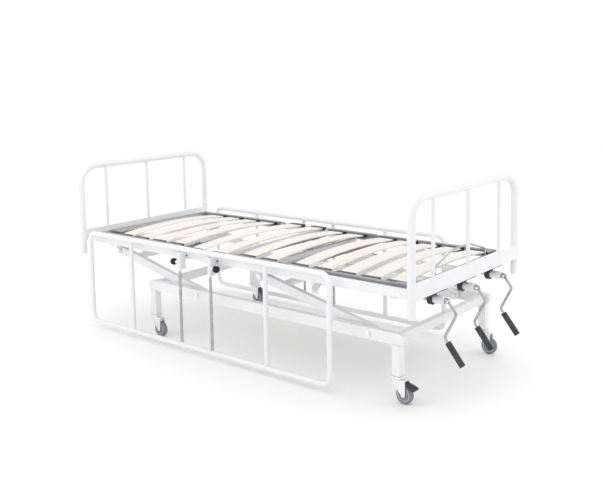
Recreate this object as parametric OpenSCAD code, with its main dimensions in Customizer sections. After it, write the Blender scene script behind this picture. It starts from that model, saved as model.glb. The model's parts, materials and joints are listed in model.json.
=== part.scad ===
// Three-crank adjustable hospital bed: a hi-lo base on swivel castors, a deck with lifting
// backrest, thigh and leg sections of bowed slats, tubular end boards and sliding side rails.
// +X points to the foot end, where the cranks are, +Z up, and the wheels stand on z = 0.

/* [Bed frame] */
// Distance between the tube centres of the head board and the foot board
board_span = 2032; // [2020:1:2080]
// Distance between the two uprights of an end board
board_w = 900; // [900:1:920]
// Height of the end board's top tube centre
board_top = 842; // [800:1:900]
// Height of the open lower ends of the uprights
board_low = 378; // [370:1:390]
// Outer diameter of the end board tube
board_tube_d = 34; // [34:1:38]
// Bend radius of the end board's corners
board_bend_r = 100; // [80:1:130]
// Diameter of the upright bars in an end board
board_bar_d = 16; // [12:1:20]
// Distance from the middle bar to the outer bars of an end board
board_bar_y = 287; // [250:1:300]
// Bore of the sockets in the uprights' lower ends
socket_d = 31; // [28:0.5:31]
// Depth of those sockets
socket_deep = 60; // [40:1:70]

/* [Deck] */
// Half-width of the lifting section frames
section_half = 390; // [380:1:392]
// Height of the section frames' top
deck_z = 490; // [488:1:494]
// Width of one bowed slat
slat_w = 80; // [70:1:100]
// Thickness of one bowed slat
slat_t = 8; // [6:0.5:8]
// Rise of a slat's middle above its ends
slat_bow = 20; // [10:1:25]
// X of the backrest hinge
hip_x = -320; // [-324:1:-316]
// X of the thigh hinge
seat_x = -10; // [-14:1:-6]
// X of the knee hinge
knee_x = 315; // [312:1:318]
// Height of the section hinges
hinge_z = 475; // [474:1:476]

/* [Lift] */
// Height of the lever pivots on the base
base_pivot_z = 261; // [258:1:264]
// Height of the lever pivots under the deck
top_pivot_z = 401; // [399:1:402]
// X of the foot lever's pivot on the base
foot_pivot_x = 770; // [765:1:775]
// Level run of a lever from its base pivot to its top pivot
lever_run = 620; // [615:1:625]
// Distance from the head lever to the foot lever
lever_gap = 1000; // [995:1:1005]

/* [Side rails] */
// Diameter of the side rail tube
rail_d = 25; // [22:1:25]
// Height of the rail's bottom tube centre, rail lowered
rail_low = 35; // [30:1:36]
// Height of the rail's top tube centre, rail lowered
rail_top = 503; // [502:1:506]
// X of the rail's head end tube centre
rail_head_x = -927; // [-935:1:-910]
// X of the rail's foot end tube centre
rail_foot_x = 638; // [620:1:645]
// Diameter of the chrome guide rods
rod_d = 14; // [12:0.5:14]

/* [Cranks] */
// Distance between neighbouring cranks
crank_pitch = 250; // [248:1:252]
// Height of the crank spindles
crank_z = 413; // [412.5:0.5:413.5]
// X of the crank fold pivots
crank_x = 1062; // [1061:1:1066]
// Length of the crank arm's root, up to its first bend
arm_a = 62; // [60:1:64]
// Length of the crank arm's throw piece
arm_b = 115; // [110:1:118]
// Length of the bare crank arm before its grip
arm_c = 23; // [22:1:24]
// Length of the ribbed grip
grip_l = 110; // [100:1:112]
// Diameter of the grip
grip_d = 26; // [24:1:28]

/* [Castors] */
// Wheel diameter
wheel_d = 75; // [74:1:76]
// Wheel width
wheel_w = 24; // [20:1:24]
// Distance from the swivel axis to the wheel axle
trail = 32; // [30:1:33]

/* [Hidden] */
$fn = 48;

white = [0.93, 0.93, 0.94];
dark = [0.27, 0.27, 0.3];
chrome = [0.75, 0.76, 0.78];
zinc = [0.66, 0.67, 0.69];
black = [0.1, 0.1, 0.1];
beech = [0.88, 0.81, 0.72];
tyre_grey = [0.45, 0.46, 0.5];

near = -1;
far = 1;
run = 0.05;     // radial clearance of a running fit

board_x = board_span / 2;
board_r = board_tube_d / 2;
upright_y = board_w / 2;

// crank arm directions in its own XZ plane, hanging folded
hang = 52;
elbow = 65.7;
dir_a = [cos(hang), -sin(hang)];
dir_b = [cos(hang + elbow), -sin(hang + elbow)];
arm_p1 = arm_a * dir_a;
arm_p2 = arm_p1 + arm_b * dir_b;
arm_p3 = arm_p2 + arm_c * dir_a;
arm_d = 12;

// the origin is midway between the head board's tube and the tip of a folded crank
crank_tip = crank_x + arm_p3[0] + grip_l * dir_a[0] + grip_d / 2 * sin(hang);
mid = [(board_x + board_r - crank_tip) / 2, 0, 0];

// bed frame members
side_in = 400;      // inner face of a side member
side_w = 30;
side_z0 = 446;
side_z1 = 482;
end_t = 30;
end_x = board_x - 15;   // inner face of an end member
end_z0 = 450;
end_z1 = 507;
cross_z0 = 430;
cross_h = 25;

// section frames
sec_t = 25;
sec_h = 28;
bar_h = 12;
sec_z0 = deck_z - sec_h;
slat_half = 352;
seat_slat_half = 387;
slat_z = deck_z - 8;    // centre height of a slat's ends
back_head_x = -950;
leg_foot_x = 955;
hoop_x = 985;
hinge_gap = 16;
lug_r = 13;
pin_r = 6;
back_slats = [-790, -660, -530, -400];
seat_slats_x = [-228, -84];
thigh_slats_x = [75, 205];
leg_slats_x = [385, 510, 635, 760, 885];

// base
beam_y = 369;
beam_w = 30;
beam_h = 48;
beam_head_x = -556;
beam_foot_x = 916;
leg_head_x = -545;
leg_foot_castor_x = 903;
leg_w = 38;
leg_z0 = 110;
axle_z = wheel_d / 2;

// lever geometry
lever_y = 335;
lever_t = 25;
lever_r = 20;
pivot_r = 8;
foot_base = [foot_pivot_x, base_pivot_z];
foot_top = [foot_pivot_x - lever_run, top_pivot_z];
head_base = foot_base - [lever_gap, 0];
head_top = foot_top - [lever_gap, 0];
lever_dir = (foot_base - foot_top) / norm(foot_base - foot_top);
tie_r = 16;
foot_tie = foot_top + 120 * lever_dir;
head_tie = head_top + 120 * lever_dir;

// scotch yokes: arm length and half-sweep of each drive pin about its section's pivot
back_arm = 96;
back_sweep = 35;
thigh_arm = 96.6;
thigh_sweep = 15;
lift_arm = 131.6;
lift_sweep = 20;
back_pin = [hip_x, hinge_z] + back_arm * [sin(back_sweep), -cos(back_sweep)];
thigh_pin = [seat_x, hinge_z] - thigh_arm * [sin(thigh_sweep), cos(thigh_sweep)];
lift_pin = foot_top + lift_arm * [sin(lift_sweep), -cos(lift_sweep)];
drive_r = 6;
yoke_t = 8;
cheek_gap = 6;      // from the middle plane to a drive cheek
cheek_t = 6;
tube_r = 12;
thread_r = 9;
nut_l = 30;

// rails and their plungers
rail_y = 470;
rail_bend_r = 40;
rail_bar_r = 11;
rail_bars = [-602, 290];
rod_head_x = -250;
rod_foot_x = -46;
rod_xs = [rod_head_x, rod_foot_x];
guide_z0 = 395;
guide_z1 = 487;
plunger_z = 435;
plunger_r = 4;
knob_r = 16.5;

module along_x(x0, x1, r, y = 0, z = 0) {
  translate([x0, y, z])
    rotate([0, 90, 0])
      cylinder(r = r, h = x1 - x0);
}

module along_y(y0, y1, r, x = 0, z = 0) {
  translate([x, y0, z])
    rotate([-90, 0, 0])
      cylinder(r = r, h = y1 - y0);
}

module box(x0, x1, y0, y1, z0, z1) {
  translate([x0, y0, z0])
    cube([x1 - x0, y1 - y0, z1 - z0]);
}

// extrudes an outline drawn in X and Z from y0 to y1
module slab(y0, y1) {
  translate([0, y1, 0])
    rotate([90, 0, 0])
      linear_extrude(y1 - y0)
        children();
}

// flat link with round ends from p to q, drawn in X and Z
module link(p, q, r) {
  d = q - p;
  translate(p)
    circle(r);
  translate(q)
    circle(r);
  translate(p)
    rotate(atan2(d[1], d[0]))
      translate([0, -r])
        square([norm(d), 2 * r]);
}

// rod of radius r along points in the XY plane; its bends are 5% thicker and lap its straights
module bent_rod(points, bend_r, r) {
  lap = 1.5;
  last = len(points) - 1;
  dirs = [for (i = [0 : last - 1]) (points[i + 1] - points[i]) / norm(points[i + 1] - points[i])];
  function turn(i) = atan2(cross(dirs[i - 1], dirs[i]), dirs[i - 1] * dirs[i]);
  function cut(i) = i == 0 || i == last ? 0 : bend_r * tan(abs(turn(i)) / 2);
  function start(i) = i == 0 || i == last ? 0 : cut(i) - lap;
  function heading(i) = atan2(dirs[i][1], dirs[i][0]);
  for (i = [0 : last - 1])
    translate(points[i] + start(i) * dirs[i])
      rotate([0, 90, heading(i)])
        cylinder(r = r, h = norm(points[i + 1] - points[i]) - start(i) - start(i + 1));
  for (i = [1 : last - 1]) {
    s = sign(turn(i));
    d = dirs[i - 1];
    translate(points[i] - cut(i) * d + s * bend_r * [-d[1], d[0]])
      rotate([0, 0, heading(i - 1) + (s > 0 ? -90 : 90 - abs(turn(i)))])
        rotate_extrude(angle = abs(turn(i)))
          translate([bend_r, 0])
            circle(1.05 * r);
  }
}

module both_sides() {
  for (s = [near, far])
    scale([1, s, 1])
      children();
}

// ---- base ----

module base_side_beams() {
  color(white)
    translate(mid)
      difference() {
        for (s = [near, far])
          slab(s * beam_y - beam_w / 2, s * beam_y + beam_w / 2)
            link([beam_head_x, base_pivot_z], [beam_foot_x, base_pivot_z], beam_h / 2);
        for (x = [head_base[0], foot_base[0]])
          along_y(-beam_y - 20, beam_y + 20, pivot_r + run, x, base_pivot_z);
      }
}

module base_cross_beams() {
  color(white)
    translate(mid)
      for (x = [leg_head_x, leg_foot_castor_x])
        box(x - 15, x + 15, -beam_y + beam_w / 2, beam_y - beam_w / 2, 241, 281);
}

module base_legs() {
  color(white)
    translate(mid)
      for (x = [leg_head_x, leg_foot_castor_x], y = [-beam_y, beam_y])
        translate([x - leg_w / 2, y - leg_w / 2, leg_z0])
          cube([leg_w, leg_w, base_pivot_z - beam_h / 2 - leg_z0]);
}

module castor_housings() {
  color(zinc)
    translate(mid)
      for (x = [leg_head_x, leg_foot_castor_x], y = [-beam_y, beam_y])
        translate([x, y, 0])
          difference() {
            union() {
              translate([-30, -25, leg_z0 - 3])
                cube([60, 50, 3]);
              translate([0, 0, 99])
                cylinder(r = 21, h = leg_z0 - 3 - 99);
            }
            translate([0, 0, 98])
              cylinder(r = 5 + run, h = 8.5);
          }
}

module lever_base_pins() {
  color(zinc)
    translate(mid)
      for (x = [head_base[0], foot_base[0]], s = [near, far])
        translate([x, 0, base_pivot_z])
          scale([1, s, 1]) {
            along_y(318, beam_y + beam_w / 2, pivot_r);
            along_y(beam_y + beam_w / 2, beam_y + beam_w / 2 + 3, 14);
            translate([0, beam_y + beam_w / 2 + 3, 0])
              rotate([-90, 0, 0])
                cylinder(r = 11, h = 7, $fn = 6);
          }
}

// ---- castors, drawn with the swivel axis at the origin ----

module castor_fork(braked) {
  translate([0, 0, 95])
    cylinder(r = 20, h = 3.5);
  translate([-18, -16.5, 95])
    cube([60, 33, 3.5]);
  translate([0, 0, 98])
    cylinder(r = 5, h = 8);
  for (s = [near, far])
    slab(s * 15.25 - 1.25, s * 15.25 + 1.25) {
      polygon([[-18, 96], [42, 96], [42, 78], [trail + 9, axle_z], [trail - 9, axle_z], [-18, 82]]);
      translate([trail, axle_z])
        circle(9);
    }
  along_y(-18.5, 18.5, 4, trail, axle_z);
  for (s = [near, far])
    along_y(s * 17.5 - 1, s * 17.5 + 1, 7, trail, axle_z);
  if (braked)
    along_y(-16.5, 16.5, 3, 36, 85);
}

module castor_wheel() {
  difference() {
    along_y(-wheel_w / 2, wheel_w / 2, wheel_d / 2, trail, axle_z);
    along_y(-wheel_w, wheel_w, 4 + run, trail, axle_z);
  }
}

module brake_pedal() {
  difference() {
    union() {
      slab(-13.5, 13.5)
        link([36, 85], [62, 76.3], 5);
      slab(-17, 17)
        link([64.5, 75], [81, 67.5], 5);
    }
    along_y(-20, 20, 3 + run, 36, 85);
  }
}

module at_castor(x, s) {
  translate(mid + [x, s * beam_y, 0])
    children();
}

module fork_foot_near() {
  color(zinc) at_castor(leg_foot_castor_x, near) castor_fork(true);
}

module fork_foot_far() {
  color(zinc) at_castor(leg_foot_castor_x, far) castor_fork(false);
}

module fork_head_near() {
  color(zinc) at_castor(leg_head_x, near) castor_fork(false);
}

module fork_head_far() {
  color(zinc) at_castor(leg_head_x, far) castor_fork(true);
}

module wheel_foot_near() {
  color(tyre_grey) at_castor(leg_foot_castor_x, near) castor_wheel();
}

module wheel_foot_far() {
  color(tyre_grey) at_castor(leg_foot_castor_x, far) castor_wheel();
}

module wheel_head_near() {
  color(tyre_grey) at_castor(leg_head_x, near) castor_wheel();
}

module wheel_head_far() {
  color(tyre_grey) at_castor(leg_head_x, far) castor_wheel();
}

module brake_pedal_foot() {
  color(black) at_castor(leg_foot_castor_x, near) brake_pedal();
}

module brake_pedal_head() {
  color(black) at_castor(leg_head_x, far) brake_pedal();
}

// ---- lift levers ----

// two arms and a tie tube; play is the radial clearance on the top pivots
module lever(base, top, tie, play) {
  difference() {
    union() {
      for (s = [near, far])
        slab(s * lever_y - lever_t / 2, s * lever_y + lever_t / 2)
          link(base, top, lever_r);
      along_y(-lever_y, lever_y, tie_r, tie[0], tie[1]);
    }
    along_y(-360, 360, pivot_r + run, base[0], base[1]);
    for (s = [near, far])
      along_y(s * lever_y - 20, s * lever_y + 20, pivot_r + play, top[0], top[1]);
  }
}

// two cheeks from a cross bar to a drive pin, centred on y
module drive_cheeks(root, pin, y) {
  for (s = [near, far])
    slab(y + s * (cheek_gap + cheek_t / 2) - cheek_t / 2, y + s * (cheek_gap + cheek_t / 2) + cheek_t / 2)
      link(root, pin, 12);
  along_y(y - cheek_gap - cheek_t, y + cheek_gap + cheek_t, drive_r, pin[0], pin[1]);
}

module head_lever() {
  color(white)
    translate(mid)
      lever(head_base, head_top, head_tie, 0.5);
}

module foot_lever() {
  color(white)
    translate(mid) {
      lever(foot_base, foot_top, foot_tie, run);
      drive_cheeks(foot_tie, lift_pin, 0);
    }
}

// ---- bed frame ----

module bed_side_members() {
  color(white)
    translate(mid)
      for (s = [near, far])
        box(-end_x, end_x, s * (side_in + side_w / 2) - side_w / 2, s * (side_in + side_w / 2) + side_w / 2,
            side_z0, side_z1);
}

module bed_end_members() {
  color(white)
    translate(mid)
      for (s = [-1, 1])
        difference() {
          box(s * board_x - end_t / 2, s * board_x + end_t / 2, -upright_y + 6, upright_y - 6, end_z0, end_z1);
          for (y = [-upright_y, upright_y])
            translate([s * board_x, y, end_z0 - 1])
              cylinder(r = board_r + run, h = end_z1 - end_z0 + 2);
        }
}

module deck_cross_tubes() {
  color(white)
    translate(mid)
      for (x = [head_top[0], -600, -150, foot_top[0], 560, 900])
        box(x - 12.5, x + 12.5, -side_in, side_in, cross_z0, cross_z0 + cross_h);
}

module lever_hangers() {
  color(white)
    translate(mid)
      difference() {
        for (top = [head_top, foot_top], y = [-352, -318, 318, 352])
          slab(y - 2, y + 2) {
            translate([top[0] - 18, top[1]])
              square([36, cross_z0 - top[1]]);
            translate(top)
              circle(18);
          }
        for (top = [head_top, foot_top])
          along_y(-360, 360, pivot_r + run, top[0], top[1]);
      }
}

module bed_pivot_pins() {
  color(zinc)
    translate(mid)
      both_sides() {
        for (top = [head_top, foot_top]) {
          along_y(316, 358, pivot_r, top[0], top[1]);
          along_y(354.2, 358, 13, top[0], top[1]);
        }
        for (x = [hip_x, seat_x]) {
          along_y(364, side_in, pin_r, x, hinge_z);
          along_y(361, 364, 10, x, hinge_z);
        }
      }
}

module end_board(x) {
  r = board_r;
  bend_z = board_top - board_bend_r;
  bend_y = upright_y - board_bend_r;
  translate([x, 0, 0])
    difference() {
      union() {
        for (s = [near, far]) {
          translate([0, s * upright_y, board_low])
            cylinder(r = r, h = bend_z - board_low);
          translate([0, s * bend_y, bend_z])
            rotate([90, 0, 90])
              rotate([0, 0, s > 0 ? 0 : 90])
                rotate_extrude(angle = 90)
                  translate([board_bend_r, 0])
                    circle(r);
        }
        along_y(-bend_y, bend_y, r, 0, board_top);
        for (y = [-board_bar_y, 0, board_bar_y])
          translate([0, y, end_z1])
            cylinder(r = board_bar_d / 2, h = board_top - end_z1);
      }
      for (y = [-upright_y, upright_y])
        translate([0, y, board_low - 1])
          cylinder(r = socket_d / 2, h = socket_deep + 1);
    }
}

module head_board() {
  color(white) translate(mid) end_board(-board_x);
}

module foot_board() {
  color(white) translate(mid) end_board(board_x);
}

module rail_guides() {
  color(white)
    translate(mid)
      both_sides()
        for (x = rod_xs) {
          s = x == rod_head_x ? -1 : 1;
          difference() {
            union() {
              translate([x, rail_y, guide_z0])
                cylinder(r = 12, h = guide_z1 - guide_z0);
              box(x - 20, x + 20, side_in + side_w, side_in + side_w + 4, side_z0, side_z1);
              box(x - 4, x + 4, side_in + side_w + 4, rail_y - 10, guide_z0 + 5, side_z1);
              translate([x, rail_y, plunger_z])
                rotate([0, s * 90, 0])
                  cylinder(r = 8, h = 23);
            }
            translate([x, rail_y, guide_z0 - 1])
              cylinder(r = rod_d / 2 + run, h = guide_z1 - guide_z0 + 2);
            translate([x, rail_y, plunger_z])
              rotate([0, s * 90, 0])
                cylinder(r = plunger_r + run, h = 24);
          }
        }
}

module crank_brackets() {
  color(black)
    translate(mid)
      for (y = crank_pitch * [-1, 0, 1])
        translate([0, y, 0])
          difference() {
            union() {
              along_x(978, 998, 25, 0, crank_z);
              box(978, 998, -25, 25, crank_z, end_z0 - 6);
              box(966, 1026, -62, 62, end_z0 - 6, end_z0);
            }
            along_x(977, 999, 10 + run, 0, crank_z);
          }
}

module crank_sleeves() {
  color(white)
    translate(mid)
      for (y = crank_pitch * [-1, 0, 1])
        difference() {
          along_x(998, 1050, 16.5, y, crank_z);
          along_x(997, 1051, 10.6, y, crank_z);
        }
}

module frame_bolts() {
  color(black)
    translate(mid) {
      for (y = crank_pitch * [-1, 0, 1], dy = [-48, 48], x = [974, 1014])
        translate([x, y + dy, end_z0 - 11])
          cylinder(r = 6, h = 5, $fn = 6);
      for (s = [near, far], x = rod_xs, dx = [-13, 13])
        translate([x + dx, s * (side_in + side_w + 4), 464])
          rotate([-s * 90, 0, 0])
            cylinder(r = 4, h = 3);
    }
}

// ---- slats ----

// bowed slat across the bed at x, grown by extra all round
module slat(x, half, extra = 0) {
  bow_r = (half * half + slat_bow * slat_bow) / (2 * slat_bow);
  translate([x - slat_w / 2 - extra, 0, 0])
    rotate([90, 0, 90])
      linear_extrude(slat_w + 2 * extra)
        intersection() {
          translate([0, slat_z + slat_bow - bow_r])
            difference() {
              circle(bow_r + slat_t / 2 + extra, $fn = 720);
              circle(bow_r - slat_t / 2 - extra, $fn = 720);
            }
          translate([-half - extra, slat_z - 40])
            square([2 * half + 2 * extra, 100]);
        }
}

module slats(xs, half) {
  for (x = xs)
    slat(x, half);
}

// end caps that hold the slats, from y0 to y1 on both sides
module slat_holders(xs, half, y0, y1) {
  for (x = xs)
    difference() {
      both_sides()
        box(x - slat_w / 2 - 4, x + slat_w / 2 + 4, y0, y1, deck_z - 16, deck_z);
      slat(x, half, 0.3);
    }
}

module seat_slats() {
  color(beech) translate(mid) slats(seat_slats_x, seat_slat_half);
}

module seat_slat_holders() {
  color(dark) translate(mid) slat_holders(seat_slats_x, seat_slat_half, 372, side_in);
}

module backrest_slats() {
  color(beech) translate(mid) slats(back_slats, slat_half);
}

module backrest_slat_holders() {
  color(dark) translate(mid) slat_holders(back_slats, slat_half, 338, section_half - sec_t);
}

module thigh_slats() {
  color(beech) translate(mid) slats(thigh_slats_x, slat_half);
}

module thigh_slat_holders() {
  color(dark) translate(mid) slat_holders(thigh_slats_x, slat_half, 338, section_half - sec_t);
}

module leg_slats() {
  color(beech) translate(mid) slats(leg_slats_x, slat_half);
}

module leg_slat_holders() {
  color(dark) translate(mid) slat_holders(leg_slats_x, slat_half, 338, section_half - sec_t);
}

// ---- lifting sections ----

// side tubes of a section frame from x0 to x1
module section_sides(x0, x1) {
  both_sides()
    box(x0, x1, section_half - sec_t, section_half, sec_z0, deck_z);
}

module cross_bar(x0, h) {
  box(x0, x0 + sec_t, -section_half + sec_t, section_half - sec_t, sec_z0, sec_z0 + h);
}

// pair of hinge lugs reaching from a tube end at x0 to the hinge at x, between y0 and y1
module lugs(x0, x, y0, y1) {
  both_sides()
    slab(y0, y1)
      intersection() {
        union() {
          translate([min(x0, x), hinge_z - lug_r])
            square([abs(x - x0), 2 * lug_r]);
          translate([x, hinge_z])
            circle(lug_r);
        }
        translate([min(x0, x) - (x > x0 ? 0 : lug_r), hinge_z - lug_r])
          square([abs(x - x0) + lug_r, 2 * lug_r]);
      }
}

module backrest_frame() {
  color(dark)
    translate(mid)
      difference() {
        union() {
          section_sides(back_head_x, hip_x - hinge_gap);
          cross_bar(back_head_x, sec_h);
          cross_bar(hip_x - hinge_gap - sec_t, bar_h);
          box(back_head_x, -850, -330, 280, deck_z, deck_z + 2);
          lugs(hip_x - hinge_gap, hip_x, 368, 386);
          drive_cheeks([hip_x - hinge_gap - 13, 471], back_pin, -crank_pitch);
        }
        along_y(-section_half, section_half, pin_r + run, hip_x, hinge_z);
      }
}

module thigh_frame() {
  color(dark)
    translate(mid) {
      difference() {
        union() {
          section_sides(seat_x + hinge_gap, knee_x - hinge_gap - 2);
          cross_bar(seat_x + hinge_gap, bar_h);
          cross_bar(127.5, bar_h);
          cross_bar(knee_x - hinge_gap - 2 - sec_t, bar_h);
          lugs(seat_x + hinge_gap, seat_x, 368, 386);
          lugs(knee_x - hinge_gap - 2, knee_x, 365, 374);
          drive_cheeks([seat_x + hinge_gap + 10, 471], thigh_pin, crank_pitch);
        }
        along_y(-section_half, section_half, pin_r + run, seat_x, hinge_z);
      }
      both_sides()
        along_y(365, section_half, pin_r, knee_x, hinge_z);
    }
}

module leg_frame() {
  color(dark)
    translate(mid)
      difference() {
        union() {
          section_sides(knee_x + hinge_gap + 2, leg_foot_x);
          cross_bar(knee_x + hinge_gap + 2, bar_h);
          cross_bar(leg_foot_x - sec_t, bar_h);
          lugs(knee_x + hinge_gap + 2, knee_x, 376, 388);
          both_sides()
            translate([0, 0, deck_z])
              linear_extrude(3)
                polygon([[leg_foot_x, section_half], [leg_foot_x - 80, section_half],
                         [leg_foot_x, section_half - 80]]);
        }
        along_y(-section_half - 1, section_half + 1, pin_r + run, knee_x, hinge_z);
      }
}

module mattress_retainer() {
  color(chrome)
    translate(mid) {
      translate([hoop_x, 0, 0])
        rotate([90, 0, 90])
          bent_rod([[-220, 472], [-220, 534], [-70, 580], [70, 580], [220, 534], [220, 472]], 14, 4);
      for (y = [-220, 220])
        box(leg_foot_x, hoop_x + 6, y - 7, y + 7, 466, 474);
    }
}

// ---- side rails ----

module rail_loop(y) {
  r = rail_d / 2;
  b = rail_bend_r;
  x0 = rail_head_x + b;
  x1 = rail_foot_x - b;
  z0 = rail_low + b;
  z1 = rail_top - b;
  translate([0, y, 0]) {
    along_x(x0, x1, r, 0, rail_low);
    along_x(x0, x1, r, 0, rail_top);
    for (x = [rail_head_x, rail_foot_x])
      translate([x, 0, z0])
        cylinder(r = r, h = z1 - z0);
    for (c = [[x1, z1, 0], [x0, z1, 90], [x0, z0, 180], [x1, z0, 270]])
      translate([c[0], 0, c[1]])
        rotate([90, 0, 0])
          rotate([0, 0, c[2]])
            rotate_extrude(angle = 90)
              translate([b, 0])
                circle(r);
    for (x = rail_bars)
      translate([x, 0, rail_low])
        cylinder(r = rail_bar_r, h = rail_top - rail_low);
  }
}

module rail_rods(y, r, extra) {
  for (x = rod_xs)
    translate([x, y, rail_low + 4 - extra])
      cylinder(r = r, h = rail_top - rail_low - 8 + 2 * extra);
}

module rail(y) {
  difference() {
    rail_loop(y);
    rail_rods(y, rod_d / 2 + run, run);
  }
}

module near_rail() {
  color(white) translate(mid) rail(-rail_y);
}

module near_rail_rods() {
  color(chrome) translate(mid) rail_rods(-rail_y, rod_d / 2, 0);
}

module far_rail() {
  color(white) translate(mid) rail(rail_y);
}

module far_rail_rods() {
  color(chrome) translate(mid) rail_rods(rail_y, rod_d / 2, 0);
}

// spring plunger with its round knob: s points away from the rod
module knob(x, s, y) {
  translate([x, y, plunger_z])
    rotate([0, s * 90, 0]) {
      translate([0, 0, rod_d / 2 + 1.5])
        cylinder(r = plunger_r, h = 22);
      translate([0, 0, 25])
        cylinder(r = 9, h = 8);
      translate([0, 0, 25 + knob_r - 2])
        sphere(knob_r);
    }
}

module knob_near_head() {
  color(black) translate(mid) knob(rod_head_x, -1, -rail_y);
}

module knob_near_foot() {
  color(black) translate(mid) knob(rod_foot_x, 1, -rail_y);
}

module knob_far_head() {
  color(black) translate(mid) knob(rod_head_x, -1, rail_y);
}

module knob_far_foot() {
  color(black) translate(mid) knob(rod_foot_x, 1, rail_y);
}

// ---- cranks and their drives ----

// threaded spindle with its journal and the clevis that the crank arm folds in
module spindle(y, end) {
  translate([0, y, crank_z]) {
    along_x(end, 976, thread_r);
    along_x(976, 1052, 10);
    along_x(970, 976, 14);
    along_x(1051, 1054, 13);
    for (s = [near, far])
      slab(s * 7.5 - 2.5, s * 7.5 + 2.5) {
        translate([1052, -8])
          square([crank_x - 1052, 16]);
        translate([crank_x, 0])
          circle(8);
      }
    along_y(-10, 10, 3, crank_x);
  }
}

module crank_arm(y) {
  difference() {
    union() {
      slab(y - 4, y + 4)
        link([crank_x, crank_z], [crank_x, crank_z] + 14 * dir_a, 7.5);
      translate([crank_x, y, crank_z])
        rotate([90, 0, 0])
          bent_rod([9.5 * dir_a, arm_p1, arm_p2, arm_p3 + (grip_l - 12) * dir_a], 18, arm_d / 2);
    }
    along_y(y - 10, y + 10, 3 + run, crank_x, crank_z);
  }
}

module crank_grip(y) {
  translate([crank_x + arm_p3[0], y, crank_z + arm_p3[1]])
    rotate([0, 90 + hang, 0])
      difference() {
        cylinder(r = grip_d / 2, h = grip_l);
        translate([0, 0, -1])
          cylinder(r = arm_d / 2 + run, h = grip_l - 10);
      }
}

module spindle_backrest() {
  color(chrome) translate(mid) spindle(-crank_pitch, 818);
}

module spindle_lift() {
  color(chrome) translate(mid) spindle(0, 838);
}

module spindle_thigh() {
  color(chrome) translate(mid) spindle(crank_pitch, 878);
}

module crank_arm_backrest() {
  color(chrome) translate(mid) crank_arm(-crank_pitch);
}

module crank_arm_lift() {
  color(chrome) translate(mid) crank_arm(0);
}

module crank_arm_thigh() {
  color(chrome) translate(mid) crank_arm(crank_pitch);
}

module crank_grip_backrest() {
  color(black) translate(mid) crank_grip(-crank_pitch);
}

module crank_grip_lift() {
  color(black) translate(mid) crank_grip(0);
}

module crank_grip_thigh() {
  color(black) translate(mid) crank_grip(crank_pitch);
}

// push tube from its yoke at the drive pin to the nut end at foot; the pin's slot runs from low to high
module push_tube(y, pin, low, high, foot, bore) {
  side = 20;
  difference() {
    union() {
      along_x(pin[0] + 45, foot, tube_r, y, crank_z);
      slab(y - yoke_t / 2, y + yoke_t / 2) {
        translate([pin[0] - side, low - 12])
          square([2 * side, crank_z + tube_r - low + 12]);
        translate([pin[0], crank_z - tube_r])
          square([95, 2 * tube_r]);
      }
    }
    along_x(foot - nut_l - 1, foot + 1, thread_r + run, y, crank_z);
    along_x(bore, foot - nut_l, 10.5, y, crank_z);
    slab(y - yoke_t, y + yoke_t)
      translate([pin[0] - drive_r - 2, low])
        square([2 * drive_r + 4, high - low]);
  }
}

module push_tube_backrest() {
  color(zinc) translate(mid)
    push_tube(-crank_pitch, back_pin, hinge_z - back_arm - drive_r - 2, back_pin[1] + drive_r + 2, 960, 810);
}

module push_tube_lift() {
  color(zinc) translate(mid)
    push_tube(0, lift_pin, foot_top[1] - lift_arm - drive_r - 2, lift_pin[1] + drive_r + 2, 960, 830);
}

module push_tube_thigh() {
  color(zinc) translate(mid)
    push_tube(crank_pitch, thigh_pin, hinge_z - thigh_arm - drive_r - 2, thigh_pin[1] + drive_r + 2, 915, 820);
}

base_side_beams();
base_cross_beams();
base_legs();
castor_housings();
lever_base_pins();
fork_foot_near();
fork_foot_far();
fork_head_near();
fork_head_far();
wheel_foot_near();
wheel_foot_far();
wheel_head_near();
wheel_head_far();
brake_pedal_foot();
brake_pedal_head();
head_lever();
foot_lever();
bed_side_members();
bed_end_members();
deck_cross_tubes();
lever_hangers();
bed_pivot_pins();
head_board();
foot_board();
seat_slats();
seat_slat_holders();
rail_guides();
crank_brackets();
crank_sleeves();
frame_bolts();
backrest_frame();
backrest_slats();
backrest_slat_holders();
thigh_frame();
thigh_slats();
thigh_slat_holders();
leg_frame();
leg_slats();
leg_slat_holders();
mattress_retainer();
near_rail();
near_rail_rods();
far_rail();
far_rail_rods();
knob_near_head();
knob_near_foot();
knob_far_head();
knob_far_foot();
spindle_backrest();
spindle_lift();
spindle_thigh();
crank_arm_backrest();
crank_arm_lift();
crank_arm_thigh();
crank_grip_backrest();
crank_grip_lift();
crank_grip_thigh();
push_tube_backrest();
push_tube_lift();
push_tube_thigh();
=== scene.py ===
"""Looks for the three-crank hospital bed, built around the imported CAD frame. Metres, +X to the foot end."""

import json
import math

import bmesh
import bpy
from mathutils import Matrix, Vector

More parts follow.
